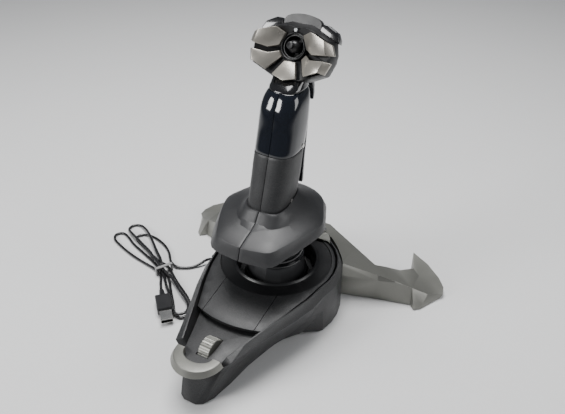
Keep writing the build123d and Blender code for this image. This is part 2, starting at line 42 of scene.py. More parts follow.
# ---------------------------------------------------------------- camera
camera_data = bpy.data.cameras.new("camera")
camera_data.lens, camera_data.sensor_width = 40.99, 36.0
camera_data.sensor_fit = "HORIZONTAL"
camera = bpy.data.objects.new("camera", camera_data)
bpy.context.scene.collection.objects.link(camera)
camera.location = (0.24404, -0.43069, 0.44701)
LOOK_AT = Vector((0, 0.01249, 0.10447))
camera.rotation_euler = (LOOK_AT - camera.location).to_track_quat("-Z", "Y").to_euler()
bpy.context.scene.camera = camera


# ---------------------------------------------------------------- materials
def link(nodes, a, out, b, into):
    nodes.id_data.links.new(a.outputs[out], b.inputs[into])


def surface(name, color, rough, metallic=0.0, grain=(2600, 0.25), blotch=0.12, coat=0.0, edge_wear_and_highlight=0.0,
            rough_spread=0.08, specular=0.5, speck=0.14):
    """A moulded or painted surface: fine grain, slow changes of tone and gloss, and lightened edges that are
    partly rubbed wear and partly painted highlight.
    """
    mat = bpy.data.materials.new(name)
    mat.use_nodes = True
    nodes = mat.node_tree.nodes
    shader = nodes["Principled BSDF"]
    shader.inputs["Metallic"].default_value = metallic
    shader.inputs["Specular IOR Level"].default_value = specular
    shader.inputs["Coat Weight"].default_value = coat
    shader.inputs["Coat Roughness"].default_value = 0.06
    place = nodes.new("ShaderNodeTexCoord")

    def noise(scale, detail=3.0):
        n = nodes.new("ShaderNodeTexNoise")
        n.inputs["Scale"].default_value = scale
        n.inputs["Detail"].default_value = detail
        link(nodes, place, "Object", n, "Vector")
        return n

    slow, fine = noise(38), noise(grain[0], 2.0)
    tone = nodes.new("ShaderNodeMapRange")
    tone.inputs["To Min"].default_value = 1 - blotch
    tone.inputs["To Max"].default_value = 1 + blotch
    link(nodes, slow, "Fac", tone, "Value")
    grains = nodes.new("ShaderNodeMapRange")
    grains.inputs["From Min"].default_value, grains.inputs["From Max"].default_value = 0.3, 0.7
    grains.inputs["To Min"].default_value, grains.inputs["To Max"].default_value = 1 - speck, 1 + speck
    link(nodes, fine, "Fac", grains, "Value")
    mottle = nodes.new("ShaderNodeMath")
    mottle.operation = "MULTIPLY"
    link(nodes, tone, 0, mottle, 0)
    link(nodes, grains, 0, mottle, 1)
    paint = nodes.new("ShaderNodeVectorMath")
    paint.operation = "SCALE"
    paint.inputs[0].default_value = color
    link(nodes, mottle, 0, paint, "Scale")
    # convex edges lightened by pointiness: partly rubbed wear, partly painted highlight standing in for light
    # catching the bevels
    if edge_wear_and_highlight:
        edge = nodes.new("ShaderNodeMapRange")
        edge.inputs["From Min"].default_value, edge.inputs["From Max"].default_value = 0.52, 0.62
        edge.inputs["To Max"].default_value = edge_wear_and_highlight
        geometry = nodes.new("ShaderNodeNewGeometry")
        link(nodes, geometry, "Pointiness", edge, "Value")
        mix = nodes.new("ShaderNodeMix")
        mix.data_type = "RGBA"
        mix.inputs["B"].default_value = tuple(min(1, c * 2.2 + 0.03) for c in color) + (1,)
        link(nodes, edge, 0, mix, "Factor")
        link(nodes, paint, 0, mix, "A")
        nodes.id_data.links.new(mix.outputs["Result"], shader.inputs["Base Color"])
    else:
        link(nodes, paint, 0, shader, "Base Color")
    gloss = nodes.new("ShaderNodeMapRange")
    gloss.inputs["To Min"].default_value = max(0.03, rough - rough_spread)
    gloss.inputs["To Max"].default_value = rough + rough_spread
    link(nodes, noise(120), "Fac", gloss, "Value")
    link(nodes, gloss, 0, shader, "Roughness")
    bump = nodes.new("ShaderNodeBump")
    bump.inputs["Strength"].default_value = grain[1]
    bump.inputs["Distance"].default_value = 0.0002
    link(nodes, fine, "Fac", bump, "Height")
    link(nodes, bump, "Normal", shader, "Normal")
    return mat


# the edge amounts below paint lighter edges, part wear and part painted highlight, strongest on the silver
# and champagne paint
CHARCOAL = surface("charcoal", (0.0150, 0.0152, 0.0160), 0.46, grain=(1150, 0.55), speck=0.6, edge_wear_and_highlight=0.2)
CHARCOAL_SATIN = surface("charcoal_satin", (0.030, 0.0305, 0.032), 0.34, grain=(2600, 0.12), edge_wear_and_highlight=0.3)
INNER = surface("inner_black", (0.014, 0.014, 0.015), 0.55)
GLOSS = surface("gloss_blue_black", (0.0030, 0.0045, 0.0085), 0.12, grain=(900, 0.02), coat=0.5,
                rough_spread=0.03)
RUBBER = surface("rubber_black", (0.010, 0.010, 0.011), 0.34, grain=(1800, 0.08))
SILVER = surface("silver_paint", (0.165, 0.165, 0.150), 0.36, metallic=0.6, grain=(3200, 0.12), edge_wear_and_highlight=0.7)
CHAMPAGNE = surface("champagne_paint", (0.27, 0.254, 0.226), 0.30, metallic=0.7, grain=(3600, 0.08),
                    edge_wear_and_highlight=0.75)
STEEL = surface("steel", (0.62, 0.61, 0.59), 0.22, metallic=1.0, grain=(1500, 0.05))
BOARD = surface("solder_mask", (0.01, 0.10, 0.035), 0.3)
WIRE_TIE = surface("tie_grey", (0.22, 0.22, 0.22), 0.45)
CABLE = surface("cable_black", (0.010, 0.010, 0.011), 0.26, grain=(1500, 0.05), coat=0.3)
CHARCOAL_REST = surface("charcoal_rest", (0.018, 0.0182, 0.0193), 0.44, grain=(1800, 0.35), speck=0.3,
                        edge_wear_and_highlight=0.3)
RUBBER_GLOSS = surface("rubber_gloss", (0.006, 0.006, 0.007), 0.16, grain=(900, 0.03), coat=0.5,
                       rough_spread=0.05)
SATIN_BLACK = surface("satin_black", (0.006, 0.006, 0.0065), 0.36, grain=(2600, 0.1), edge_wear_and_highlight=0.15)
CLEAR = surface("lens_clear", (0.20, 0.21, 0.22), 0.12)

NODE_FINISH = {
    CHARCOAL: ["base_shell", "top_cover", "rest_right", "rest_left", "grip_lower_right", "grip_lower_left",
               "throttle_deck", "head_back", "visor"],
    CHARCOAL_SATIN: ["collar_ring", "skirt"],
    SATIN_BLACK: ["head_front", "shoulder_right", "shoulder_left"],
    INNER: ["base_plate", "well_housing", "gimbal_post", "base_sensors", "wheel_ears", "gimbal_cross",
            "stick_yoke", "roll_sensor", "twist_hub", "twist_sensor", "finger_mounts", "dust_ball",
            "hat_ring"],
    GLOSS: ["grip_upper_right", "grip_upper_left", "hat_bezel", "trigger", "grip_lever"],
    SILVER: ["nose_arch", "wing_right", "wing_left", "throttle_wheel"],
    CHAMPAGNE: ["button_upper_right", "button_upper_left", "button_lower_right", "button_lower_left",
                "button_bottom"],
    STEEL: ["ballast", "wheel_axle", "centring_spring", "wing_screws", "stick_shaft", "grip_screws",
            "finger_pins", "plug_shell"],
    RUBBER: ["neck", "rubber_feet", "boot", "cord_relief", "plug_overmould", "hat"],
    BOARD: ["circuit_board"], WIRE_TIE: ["cord_tie"], CLEAR: ["led_lens"],
}
for finish, names in NODE_FINISH.items():
    for name in names:
        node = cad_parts[name]
        node.data.materials.clear()
        node.data.materials.append(finish)


def smooth_by_angle(limit=32):
    """A node group that shades smooth and keeps edges sharper than its angle hard."""
    tree = bpy.data.node_groups.new("smooth_by_angle", "GeometryNodeTree")
    tree.interface.new_socket("Geometry", in_out="INPUT", socket_type="NodeSocketGeometry")
    tree.interface.new_socket("Geometry", in_out="OUTPUT", socket_type="NodeSocketGeometry")
    into, out = tree.nodes.new("NodeGroupInput"), tree.nodes.new("NodeGroupOutput")
    smooth = tree.nodes.new("GeometryNodeSetShadeSmooth")
    edges = tree.nodes.new("GeometryNodeSetShadeSmooth")
    edges.domain = "EDGE"
    angle = tree.nodes.new("GeometryNodeInputMeshEdgeAngle")
    low = tree.nodes.new("FunctionNodeCompare")
    low.operation = "LESS_THAN"
    low.inputs[1].default_value = radians(limit)
    tree.links.new(into.outputs[0], smooth.inputs[0])
    tree.links.new(smooth.outputs[0], edges.inputs[0])
    tree.links.new(angle.outputs[0], low.inputs[0])
    tree.links.new(low.outputs[0], edges.inputs["Shade Smooth"])
    tree.links.new(edges.outputs[0], out.inputs[0])
    return tree


SMOOTH, CRISP = smooth_by_angle(), smooth_by_angle(15)


def soften(obj, width, segments=2, weld=False, crisp=False):
    """Rounded edges, then smooth shading between them."""
    if weld:
        obj.modifiers.new("weld", "WELD").merge_threshold = 0.00001
    bevel = obj.modifiers.new("bevel", "BEVEL")
    bevel.width, bevel.segments, bevel.limit_method = width, segments, "ANGLE"
    bevel.angle_limit = radians(15 if crisp else 28)
    obj.modifiers.new("smooth", "NODES").node_group = CRISP if crisp else SMOOTH


SOFT_EDGES = {  # bevel widths in millimetres
    "base_shell": 0.4, "top_cover": 0.3, "head_front": 0.4, "head_back": 0.5, "trigger": 0.6,
    "grip_lever": 0.4, "throttle_deck": 0.3}
for name, width in SOFT_EDGES.items():
    soften(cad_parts[name], width * MM, weld=True, crisp=name == "base_shell")

# the two fine seams that run forward over the cover
SEAM_FRONT, SEAM_BACK, SEAM_LOW, SEAM_HIGH = -96, -46, 38, 60
for sign in (1, -1):
    line = [(sign * 26.8, SEAM_FRONT), (sign * 27.4, SEAM_FRONT), (sign * 27.6, SEAM_BACK),
            (sign * 27.0, SEAM_BACK)]
    groove = bpy.data.meshes.new("groove_cutter")
    groove.from_pydata([Vector((x, y, z)) * MM for z in (SEAM_LOW, SEAM_HIGH) for x, y in line], [],
                       [(0, 1, 2, 3), (4, 5, 6, 7), (0, 1, 5, 4), (1, 2, 6, 5), (2, 3, 7, 6), (3, 0, 4, 7)])
    groove.validate()
    cutter = bpy.data.objects.new("groove_cutter", groove)
    bpy.context.scene.collection.objects.link(cutter)
    cutter.hide_render = cutter.hide_viewport = True
    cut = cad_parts["top_cover"].modifiers.new("seam", "BOOLEAN")
    cut.operation, cut.object, cut.solver = "DIFFERENCE", cutter, "EXACT"

# ---------------------------------------------------------------- cord
CORD_POINTS = [
    # out of the relief, down to the desk and across to the hank
    (-68.7, 12.11, 9), (-90.5, 15.9, 8.4), (-99, -1, 1.8), (-110.5, -10.5, 1.7), (-119.6, -12.8, 3.0),
    # right-hand loop
    (-128.5, -8, 2.4), (-134, -2, 1.6), (-142, 6.5, 1.6), (-154, 14, 1.6), (-168, 19, 1.6), (-181, 20, 1.6),
    (-189.5, 16, 1.6), (-191, 8.5, 1.6), (-183, 3.6, 1.6), (-168, -1.6, 1.6), (-152, -8.8, 1.6),
    (-139, -13.6, 1.6), (-128.9, -14.6, 2.2), (-121.9, -18.4, 2.6), (-114.6, -23.6, 2.6),
    # near loop, on the desk
    (-102, -32, 1.7), (-88, -40, 1.6), (-76, -47.5, 1.6), (-66.5, -57, 1.6), (-62.5, -67, 1.6),
    (-68, -75, 1.6), (-77, -71, 1.6), (-86, -60, 1.6), (-98, -48, 1.6), (-109.5, -35, 1.7),
    (-118, -27.9, 2.6), (-125, -24, 2.6), (-130.6, -20.2, 3.2),
    # tall loop, over the right-hand one
    (-135, -15.4, 5.0), (-142.5, -9, 5.0), (-152, -2.5, 4.8), (-166, 9, 4.8), (-180, 19.5, 4.9),
    (-191, 26.5, 3.4), (-202, 31, 1.6), (-210, 26, 1.6), (-209, 17, 1.6), (-201, 12.5, 3.4), (-190, 7, 4.9),
    (-175, 0.5, 4.8), (-158, -6.5, 4.8), (-144.5, -15.2, 5.0), (-132.8, -21.8, 6.0), (-125.8, -25.4, 6.2),
    (-118.5, -28.4, 6.0),
    # second near loop, on the first
    (-106, -32.5, 4.9), (-92, -42.5, 4.8), (-79, -49.5, 4.8), (-68.5, -57, 4.8), (-64, -68, 4.8),
    (-73, -75.5, 4.8), (-82, -67, 4.8), (-95, -54, 4.8), (-108, -43, 4.4), (-115.6, -35, 3.0),
    (-121, -30.4, 2.6), (-126.55, -26.8, 2.6), (-132.7, -23.4, 2.6),
    # left-hand loop
    (-141, -18.8, 1.6), (-152, -14.3, 1.6), (-168, -8.6, 1.6), (-185, -2.5, 1.6), (-199, 5.5, 1.6),
    (-209.5, 9.5, 1.6), (-216, 3, 1.6), (-211, -5.5, 1.6), (-199, -10.5, 1.6), (-185, -15.5, 1.6),
    (-169, -20, 1.6), (-150, -23.5, 1.6), (-138, -25.2, 1.9), (-128.1, -29.6, 2.6), (-120.5, -35, 3.0),
    # to the plug
    (-114, -44.6, 4.2), (-107.2, -52, 5.6)]


def piece(name, data, material, node=None, body=None):
    obj = bpy.data.objects.new(name, data)
    bpy.context.scene.collection.objects.link(obj)
    if material:
        data.materials.append(material)
    if node:
        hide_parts(*([node] if isinstance(node, str) else node))
    if body:
        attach(obj, body)
    return obj


def nurbs(name, points, thickness):
    data = bpy.data.curves.new(name, "CURVE")
    data.dimensions = "3D"
    data.bevel_depth, data.bevel_resolution, data.resolution_u = thickness / 2, 6, 10
    data.use_fill_caps = True
    spline = data.splines.new("NURBS")
    spline.points.add(len(points) - 1)
    for at, point in zip(spline.points, points):
        at.co = (point[0] * MM, point[1] * MM, point[2] * MM, 1)
    spline.order_u = 3
    spline.use_endpoint_u = True
    return data


cord = piece("usb_cord", nurbs("usb_cord", CORD_POINTS, 0.003), CABLE, ["cord", "cord_hank"], "base")

# ---------------------------------------------------------------- mesh tools, in millimetres
def mesh_piece(name, points, faces, material, node=None, body=None, slot=None, bevel=0.0, segments=2):
    """A mesh from points in millimetres, with its normals consistent and its edges rounded by bevel."""
    data = bpy.data.meshes.new(name)
    data.from_pydata([Vector(p) * MM for p in points], [], faces)
    work = bmesh.new()
    work.from_mesh(data)
    bmesh.ops.remove_doubles(work, verts=work.verts, dist=1e-6)
    bmesh.ops.recalc_face_normals(work, faces=work.faces)
    work.to_mesh(data)
    work.free()
    obj = piece(name, data, material, node, body)
    if bevel:
        soften(obj, bevel * MM, segments)
    else:
        obj.modifiers.new("smooth", "NODES").node_group = SMOOTH
    return obj


def strip(rings, loop=False, caps=True, open_ring=False):
    """Points and faces of quads through rings of equal length."""
    points = [p for ring in rings for p in ring]
    n, faces = len(rings[0]), []
    for r in range(len(rings) - (0 if loop else 1)):
        low, high = r * n, (r + 1) % len(rings) * n
        for i in range(n - 1 if open_ring else n):
            j = (i + 1) % n
            faces.append((low + i, low + j, high + j, high + i))
    if caps and not loop:
        faces += [tuple(range(n)), tuple(range((len(rings) - 1) * n, len(rings) * n))]
    return points, faces


def lathe(profile, steps=96, centre=(0, 0, 0), axis=None):
    """Points and faces of a closed profile of (radius, height) turned about a line."""
    up = Vector(axis or (0, 0, 1)).normalized()
    side = up.orthogonal().normalized()
    other = up.cross(side)
    rings = []
    for r, h in profile:
        turns = [2 * pi * i / steps for i in range(steps)]
        rings.append([Vector(centre) + up * h + (side * cos(t) + other * sin(t)) * r for t in turns])
    return strip(rings, loop=True)


def between(levels, steps):
    """A smooth run of values through the given levels."""
    out = []
    for i in range(len(levels) - 1):
        a, b = levels[max(i - 1, 0)], levels[i]
        c, d = levels[i + 1], levels[min(i + 2, len(levels) - 1)]
        for k in range(steps):
            t = k / steps
            out.append(tuple(0.5 * (2 * q + (r - p) * t + (2 * p - 5 * q + 4 * r - s) * t * t
                                    + (3 * q - p - 3 * r + s) * t ** 3) for p, q, r, s in zip(a, b, c, d)))
    return out + [tuple(levels[-1])]


# ---------------------------------------------------------------- head
HEAD = Vector((0, 34.5, 254.5))
FACE = Vector((0, -cos(radians(26)), sin(radians(26))))
FACE_UP = Vector((0, sin(radians(26)), cos(radians(26))))


def on_face(u, v, d):
    return HEAD + Vector((u, 0, 0)) + FACE_UP * v + FACE * d


PETALS = {
    "upper": ([(8.4, 9.6, 7.1), (16.0, 13.1, 11.2), (19.2, 12.3, 12.0), (30.8, 8.0, 14.2), (36.6, 6.2, 8.6),
               (39.6, -1.8, 6.6), (34.0, -3.1, 12.3), (20.6, -4.6, 10.2), (13.0, -1.0, 4.3)],
              [(0, 1, 2, 7, 8), (2, 3, 6, 7), (3, 4, 5, 6)]),
    "lower": ([(12.6, -5.2, 2.8), (19.6, -8.9, 9.6), (33.3, -8.1, 13.2), (38.4, -8.2, 7.0),
               (35.0, -18.6, 8.6), (31.0, -17.6, 15.0), (18.0, -23.0, 11.9), (9.2, -9.6, 2.6)],
              [(0, 1, 7), (1, 6, 7), (1, 2, 5, 6), (2, 3, 4, 5)]),
    "bottom": ([(4.8, -12.6, 4.3), (10.9, -26.0, 10.4), (0.0, -29.4, 11.6), (-11.6, -25.8, 10.4),
                (-5.2, -12.8, 4.3)], [(0, 1, 2, 3, 4)])}

PETAL_DEPTH = {"upper": 3.4, "lower": 2.2, "bottom": 3.4}
PETAL_FLARE = 1.02          # the underside is that much wider than the top

def petal(name, kind, mirror):
    """A pressed cap: its facets on top, a wall round its edge and an underside with the same facets."""
    outline, top = PETALS[kind]
    if mirror:
        outline = [(-u, v, d) for u, v, d in outline]
    n = len(outline)
    points = [on_face(*p) for p in outline]
    mid = [sum(p[i] for p in outline) / n for i in range(3)]
    points += [on_face(mid[0] + (u - mid[0]) * PETAL_FLARE, mid[1] + (v - mid[1]) * PETAL_FLARE,
                       d - PETAL_DEPTH[kind]) for u, v, d in outline]
    faces = list(top) + [(i, (i + 1) % n, n + (i + 1) % n, n + i) for i in range(n)]
    faces += [tuple(n + i for i in face) for face in top]
    mesh_piece(name, points, faces, CHAMPAGNE, name, name, "silver_paint", bevel=0.55, segments=3)


for side, mirrored in (("right", False), ("left", True)):
    petal(f"button_upper_{side}", "upper", mirrored)
    petal(f"button_lower_{side}", "lower", mirrored)
petal("button_bottom", "bottom", False)

bezel_profile = [(8.0, -6.9), (8.0, -1.0), (8.5, 1.6), (8.9, 2.4), (9.4, 2.4), (9.6, 1.2), (10.2, 1.2),
                 (10.5, 3.4), (10.9, 3.8), (11.4, 3.6), (11.7, 2.6), (11.7, 0.5), (10.6, -0.5), (10.6, -6.9)]
mesh_piece("hat_bezel_rings", *lathe(bezel_profile, 96, HEAD, FACE), SATIN_BLACK, "hat_bezel", "grip",
           "gloss_black", bevel=0.12)
floor_profile = [(2.9, -9.4), (10.5, -9.4), (10.5, -8.0), (2.9, -8.0)]
mesh_piece("hat_well_floor", *lathe(floor_profile, 64, HEAD, FACE), INNER, None, "grip", "inner_plastic")
ball_profile = [(0.01, -7.4), (2.1, -7.4), (2.1, -5.0)]
BALL_R, BALL_D = 5.7, 0.8
ball_profile += [(BALL_R * sin(radians(a)), BALL_D - BALL_R * cos(radians(a))) for a in range(24, 154, 10)]
ball_profile += [(2.4, 6.4), (2.0, 7.6), (2.1, 9.0), (2.9, 9.9), (3.0, 10.9), (2.4, 11.5), (1.5, 11.3),
                 (0.01, 10.9)]
mesh_piece("hat_stick_top", *lathe(ball_profile, 64, HEAD, FACE), RUBBER, "hat", "hat_stick", "rubber")

VISOR_U, VISOR_FOOT = 17.8, 17.5
visor_rings = []
for d, k in ((-11.5, 0.985), (-10.9, 1.0), (-5.4, 1.0), (-4.8, 0.985)):
    crown = [(VISOR_U * cos(pi * i / 24), 20.2 + 8.2 * k * sin(pi * i / 24) ** 0.75) for i in range(25)]
    crown += [(-VISOR_U, VISOR_FOOT), (VISOR_U, VISOR_FOOT)]
    visor_rings.append([on_face(u * k, v, d) for u, v in crown])
mesh_piece("visor_hood", *strip(visor_rings), SATIN_BLACK, "visor", "grip", "charcoal_plastic")
BAR_U, BAR_V = 27, 16          # the middle of a shoulder key
for side, sign in (("right", 1), ("left", -1)):
    bar = [(17.6, 17.0), (19.4, 22.6), (24.0, 22.4), (33.4, 17.8), (36.4, 12.6), (36.8, 8.6)]
    rings = []
    for d, k in ((-11.2, 0.97), (-10.6, 1.0), (-3.6, 1.0), (-2.8, 0.95)):
        rings.append([on_face(sign * (BAR_U + (u - BAR_U) * k), BAR_V + (v - BAR_V) * k, d) for u, v in bar])
    mesh_piece(f"shoulder_{side}_key", *strip(rings), RUBBER_GLOSS, f"shoulder_{side}", f"shoulder_{side}",
               "charcoal_plastic", bevel=0.7, segments=3)

# ---------------------------------------------------------------- grip, in halves with a seam between them
GRIP = [(121, -7.8, 18.5, 22), (134.5, -4.2, 18.8, 21.5), (148, 0.4, 19.2, 21.2), (160, 3.6, 19.4, 20.6),
        (171.8, 6.9, 19.5, 19.8), (182, 10.4, 19.5, 19.8), (192.6, 13.7, 19.5, 19.8),
        (208, 17.3, 19, 19.7), (215, 19.7, 18.2, 18.5), (220, 21.6, 16.6, 17.4), (223, 23, 14.6, 16)]
SPLIT_Z, SEAM = 171.8, 0.18


def half_section(z, y, a, c, sign, n=20):
    out = []
    for i in range(n + 1):
        t = pi * i / n
        x = max(SEAM, a * abs(sin(t)) ** (2 / 3.2))
        out.append((sign * x, y - c * abs(cos(t)) ** (2 / 3.2) * (1 if cos(t) > 0 else -1), z))
    return out


def shell_piece(name, rows, material, thickness, *where, bevel=0.3):
    """An open moulding: its outside surface, given its wall thickness on the inside."""
    obj = mesh_piece(name, *strip(rows, caps=False, open_ring=True), material, *where)
    middle = sum((Vector(p) for row in rows for p in row), Vector()) / sum(len(row) for row in rows) * MM
    face = max(obj.data.polygons, key=lambda f: f.area)
    if (face.center - Vector((0, middle.y, face.center.z))).dot(face.normal) < 0:
        obj.data.flip_normals()
    obj.modifiers.clear()
    wall = obj.modifiers.new("wall", "SOLIDIFY")
    wall.thickness, wall.offset, wall.use_even_offset = thickness * MM, -1, True
    soften(obj, bevel * MM, 2)
    return obj


def full_section(z, y, a, c, n=48, power=2.6):
    out = []
    for i in range(n):
        t = 2 * pi * (i + 0.5) / n
        out.append((a * abs(sin(t)) ** (2 / power) * (1 if sin(t) > 0 else -1),
                    y - c * abs(cos(t)) ** (2 / power) * (1 if cos(t) > 0 else -1), z))
    return out


NECK = [(222.6, 23.0, 13.4, 14.6), (223.2, 23.2, 15.2, 16.2), (224.6, 24.2, 15.8, 16.2),
        (227, 26.2, 15.6, 15.2), (231, 30.2, 16.0, 13.6), (236, 34.4, 16.4, 12.6), (241, 38.2, 16.0, 11.6)]
mesh_piece("neck_collar", *strip([full_section(*g) for g in between(NECK, 3)]), RUBBER_GLOSS, "neck", "grip",
           "inner_plastic")

levels = between(GRIP, 4)
lower_levels = [g for g in levels if g[0] < SPLIT_Z - 0.3] + [(SPLIT_Z - 0.2, 6.85, 19.5, 19.8)]
upper_levels = [(SPLIT_Z + 0.2, 6.9, 19.3, 19.6)] + [g for g in levels if g[0] > SPLIT_Z + 1]
for side, sign in (("right", 1), ("left", -1)):
    shell_piece(f"grip_lower_{side}_half", [half_section(*g, sign) for g in lower_levels], CHARCOAL, 2.2,
                f"grip_lower_{side}", "grip", "charcoal_plastic", bevel=0.35)
    shell_piece(f"grip_upper_{side}_half", [half_section(*g, sign) for g in upper_levels], GLOSS, 2.2,
                f"grip_upper_{side}", "grip", "gloss_black", bevel=0.35)

# ---------------------------------------------------------------- boot and skirt under the hand rest
boot = [(22.0, 58.6), (25.6, 58.7), (26.9, 59.3), (27.4, 60.4), (27.0, 61.6), (25.0, 62.2)]
for i, r in enumerate((26.2, 26.8, 26.2, 25.0)):
    z = 62.8 + 6.6 * i
    boot += [(r - 2.0, z), (r - 0.7, z + 0.5), (r, z + 1.6), (r, z + 2.8), (r - 0.6, z + 3.9),
             (r - 2.2, z + 4.6), (r - 2.6, z + 5.6)]
boot += [(22.4, 90.6), (21.5, 94.2), (19.5, 94.2)]
mesh_piece("boot_ribbed", *lathe(boot + [(19.5, 62.0)], 96), RUBBER_GLOSS, "boot", "stick", "rubber")

SIDES = 12
skirt_rings = []
for r, z in ((29.6, 42.2), (29.2, 43.6), (25.2, 57.2), (24.2, 58.5), (22.4, 58.5), (27.4, 42.2)):
    skirt_rings.append([(r * cos(2 * pi * (i + 0.25) / SIDES), r * sin(2 * pi * (i + 0.25) / SIDES), z)
                        for i in range(SIDES)])
mesh_piece("skirt_faceted", *strip(skirt_rings, loop=True), CHARCOAL_SATIN, "skirt", "stick",
           "charcoal_plastic", bevel=0.45)

# ---------------------------------------------------------------- collar round the well
collar = [(36.6, 38.0), (38.6, 52.0), (39.2, 53.2), (40.0, 53.6), (40.8, 53.2), (41.3, 52.2), (42.2, 51.4),
          (53.4, 50.0), (54.2, 50.2), (54.4, 49.6), (54.4, 45.6), (43, 42.0), (40, 38.0)]
mesh_piece("collar_ring_lip", *lathe(collar, 144), SATIN_BLACK, "collar_ring", "base",
           "charcoal_plastic", bevel=0.2)

# ---------------------------------------------------------------- silver arch round the nose
def half_moon(rx, ry, y, z, steps=20):
    return [(rx * cos(pi * i / steps), y - ry * sin(pi * i / steps), z) for i in range(steps + 1)]


ARCH_Y = -133
arch_rows = [half_moon(rx, ry, ARCH_Y, z) for rx, ry, z in (
    (22.2, 22.4, 36.4), (24.4, 24.5, 38.2), (21.8, 21.4, 42.8), (21.2, 20.8, 43.2), (14.4, 10.8, 43.2),
    (14.0, 10.4, 42.6), (14.0, 10.4, 36.4))]
columns = [[row[i] for row in arch_rows] for i in range(len(arch_rows[0]))]
nose_band = mesh_piece("nose_arch_band", *strip(columns), SILVER, "nose_arch", "base", "silver_paint",
                       bevel=0.35)
nose_band.modifiers["smooth"].node_group = CRISP

# ---------------------------------------------------------------- throttle wheel
WHEEL, WHEEL_R, RIDGE, WHEEL_STEPS = Vector((0, -117.6, 31.5)), 12.0, 0.55, 180
rim = []
for i in range(WHEEL_STEPS):
    a = 2 * pi * i / WHEEL_STEPS
    r = WHEEL_R - (RIDGE if (i % 6) < 2 else 0.0)
    rim.append((WHEEL.y + r * cos(a), WHEEL.z + r * sin(a)))
slices = []
for x, k in ((-5.5, 0.94), (-5.0, 1.0), (5.0, 1.0), (5.5, 0.94)):
    slices.append([(x, WHEEL.y + (y - WHEEL.y) * k, WHEEL.z + (z - WHEEL.z) * k) for y, z in rim])
mesh_piece("throttle_wheel_ridged", *strip(slices), SILVER, "throttle_wheel", "wheel", "silver_paint")

# ---------------------------------------------------------------- wings
ARM = [  # ridge, crease on the front face, front foot, back foot, back edge
    [(0, 45.5, 54.2), (0, 45.5, 50), (0, 45.5, 38), (0, 79, 38), (0, 79, 51)],
    [(18, 46, 54.2), (18, 46, 48), (18, 46, 36), (22, 77.5, 36), (22, 77.5, 51)],
    [(34, 47, 53.2), (34, 46, 44), (34, 47, 26), (33, 72.5, 26), (33, 72.5, 49)],
    [(56, 30, 46), (57, 28.4, 32), (55, 36, 1), (57, 64, 1), (57, 66, 41)],
    [(90, 45, 33), (91.5, 43.2, 27.4), (90, 46, 1), (82, 59, 1), (81, 61, 31)],
    [(106.5, 52, 26.2), (107, 51.2, 25.2), (107, 50, 1), (92, 66.6, 1), (91, 68.6, 26.8)],
    [(122.7, 58.7, 19.1), (122.8, 58.6, 18.9), (124, 54, 1), (104, 74, 1), (103, 76, 22)]]
CLAW_TOP = [(122.7, 58.7, 19.1), (136.7, 67.4, 10.4), (149.4, 80.5, 6), (147.5, 87, 9), (140, 93.5, 13.5),
            (124, 104, 18), (105, 112.3, 21), (113, 89.5, 18.5), (103, 76, 22)]
CLAW_LOW = [(129.5, 48.5, 1), (135, 53.2, 1), (148, 80, 1), (146, 85.5, 1), (138, 91, 3), (123, 100, 7),
            (107, 107.5, 14), (111, 88, 5), (104, 74, 1)]
CLAW_MIDDLE = (122, 82, 17.6)
ARM_N = len(ARM[0])
ARM_FOOT = ARM_N * (len(ARM) - 1) + 2          # the front foot of the last section
BODY_R, BODY_STEPS = 65.45, 144
body_rings = [[(BODY_R * cos(2 * pi * i / BODY_STEPS), BODY_R * sin(2 * pi * i / BODY_STEPS), z)
               for i in range(BODY_STEPS)] for z in (-5, 52.4)]
body_cutter = mesh_piece("body_cutter", *strip(body_rings), None, None, "base")
body_cutter.hide_render = body_cutter.hide_viewport = True
for side, sign in (("right", 1), ("left", -1)):
    points, faces = [p for section in ARM for p in section], []
    for i in range(len(ARM) - 1):
        for k in range(ARM_N):
            a, b = ARM_N * i + k, ARM_N * i + (k + 1) % ARM_N
            faces.append((a, b, b + ARM_N, a + ARM_N))
    faces.append(tuple(range(ARM_N)))
    top, low = len(points), len(points) + len(CLAW_TOP)
    points += CLAW_TOP + CLAW_LOW + [CLAW_MIDDLE]
    n = len(CLAW_TOP)
    for i in range(n - 1):
        faces += [(top + i, top + i + 1, low + i + 1, low + i), (top + i, top + i + 1, low + n)]
    faces += [(low + n, top + n - 1, top), (top, low, ARM_FOOT)]
    faces += [tuple(low + i for i in range(n)) + (ARM_FOOT,)]
    points = [(sign * x, y, z) for x, y, z in points]
    wing = mesh_piece(f"wing_{side}_claw", points, faces, SILVER, f"wing_{side}", "base", "silver_paint")
    wing.modifiers.clear()
    cut = wing.modifiers.new("clear_of_body", "BOOLEAN")
    cut.operation, cut.object, cut.solver = "DIFFERENCE", body_cutter, "EXACT"
    soften(wing, 0.5 * MM, 2, crisp=True)

